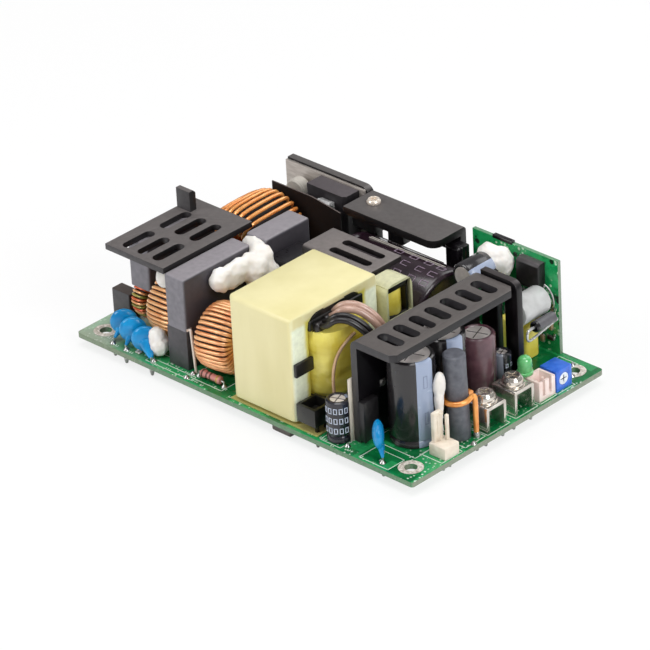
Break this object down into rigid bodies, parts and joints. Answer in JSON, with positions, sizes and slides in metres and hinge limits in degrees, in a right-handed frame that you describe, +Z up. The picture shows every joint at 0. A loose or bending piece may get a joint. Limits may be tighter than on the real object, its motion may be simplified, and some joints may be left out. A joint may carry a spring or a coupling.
{
  "type": "open frame power supply",
  "caption": "Open frame switching power supply: a populated board with wound chokes, taped transformers, capacitors, bent heat sinks and terminals.",
  "frame": {"origin": "middle of the four mounting holes, on the underside of the circuit board", "axes": "+X along the long edge towards the output end, +Y towards the edge with the tall heat sink, +Z up out of the component side"},
  "size_m": [0.127, 0.0762, 0.0398],
  "materials": {
    "solder_mask": "gloss",
    "tin": "satin",
    "black_plastic": "satin",
    "capacitor_grey": "satin",
    "dark_plastic": "satin",
    "ferrite": "matt",
    "enamelled_copper": "gloss",
    "blue_epoxy": "gloss",
    "resistor_coat": "gloss",
    "dark_anodised": "satin",
    "plated_grey": "satin",
    "bare_aluminium": "satin",
    "spring_steel": "gloss",
    "nickel": "gloss",
    "insulating_film": "satin",
    "pale_epoxy": "matt",
    "dark_sleeve": "gloss",
    "brown_sleeve": "gloss",
    "cream_tape": "satin",
    "yellow_tape": "gloss",
    "pink_insulation": "gloss",
    "nylon": "satin",
    "white_plastic": "satin",
    "blue_plastic": "satin",
    "green_lens": "gloss",
    "silicone": "satin"
  },
  "bodies": {
    "supply": {"circuit_board": "solder_mask", "solder_joints": "tin", "underside_diode": "black_plastic", "x_capacitor_front": "capacitor_grey", "x_capacitor_rear": "capacitor_grey", "film_capacitor": "capacitor_grey", "capacitor_risers": "dark_plastic", "slotted_cover": "dark_plastic", "fuse": "dark_plastic", "common_mode_core": "ferrite", "common_mode_windings": "enamelled_copper", "input_choke_core": "ferrite", "input_choke_winding": "enamelled_copper", "line_choke_core": "ferrite", "line_choke_winding": "enamelled_copper", "boost_choke_core": "ferrite", "boost_choke_winding": "enamelled_copper", "boost_choke_base": "black_plastic", "disc_capacitors": "blue_epoxy", "axial_parts": "resistor_coat", "relay": "black_plastic", "primary_heat_sink": "dark_anodised", "heat_spreader": "bare_aluminium", "bridge_rectifier": "black_plastic", "rectifier_clip": "spring_steel", "inrush_thermistor": "pale_epoxy", "insulating_sheets": "insulating_film", "flange_screw": "nickel", "power_transistors": "black_plastic", "boost_diode": "black_plastic", "switch_heat_sink": "plated_grey", "bulk_capacitor": "dark_sleeve", "output_capacitors": "brown_sleeve", "filter_capacitor": "brown_sleeve", "small_capacitors": "dark_sleeve", "transformer_core": "cream_tape", "transformer_winding": "yellow_tape", "transformer_bobbin": "black_plastic", "core_clip": "black_plastic", "standby_core": "cream_tape", "standby_coil": "yellow_tape", "output_leads": "pink_insulation", "sense_lead": "pink_insulation", "output_heat_sink": "plated_grey", "end_heat_sink": "dark_anodised", "bias_transformer": "yellow_tape", "rod_choke_core": "ferrite", "rod_choke_wire": "enamelled_copper", "output_header": "nylon", "screw_terminals": "nickel", "terminal_screws": "nickel", "fan_connector": "nylon", "trimmer_body": "blue_plastic", "status_led": "green_lens", "control_board": "solder_mask", "control_connector": "black_plastic", "snubber_capacitor": "white_plastic", "silicone_dabs": "silicone"},
    "rotor": {"trimmer_rotor": "white_plastic"}
  },
  "joints": [
    {"name": "trimmer_turn", "type": "hinge", "parent": "supply", "child": "rotor", "pos_m": [0.0622, 0.0236, 0.0048], "axis": [1, 0, 0], "range_deg": [-120, 120]}
  ]
}
